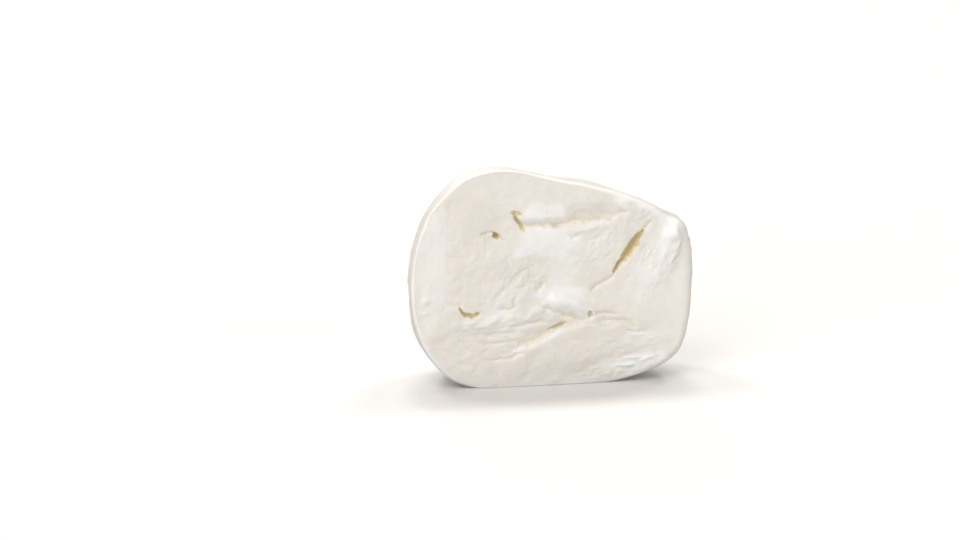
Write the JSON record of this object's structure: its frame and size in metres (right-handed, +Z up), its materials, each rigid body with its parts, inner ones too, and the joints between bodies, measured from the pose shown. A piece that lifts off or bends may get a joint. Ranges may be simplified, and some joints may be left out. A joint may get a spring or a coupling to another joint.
{
  "type": "halved mozzarella ball",
  "caption": "Half of a fresh mozzarella ball, cut lengthwise: a flat face of soft curd with folds, milky swells, a slit and small holes, and a smooth rounded skin behind.",
  "frame": {"origin": "on the table, under the middle of the piece's bounding box", "axes": "+X along the ball towards its knot, -Y out of the cut face, +Z up"},
  "size_m": [0.0672, 0.0286, 0.0512],
  "materials": {
    "mozzarella": "satin"
  },
  "bodies": {
    "root": {"mozzarella_half": "mozzarella"}
  },
  "joints": []
}
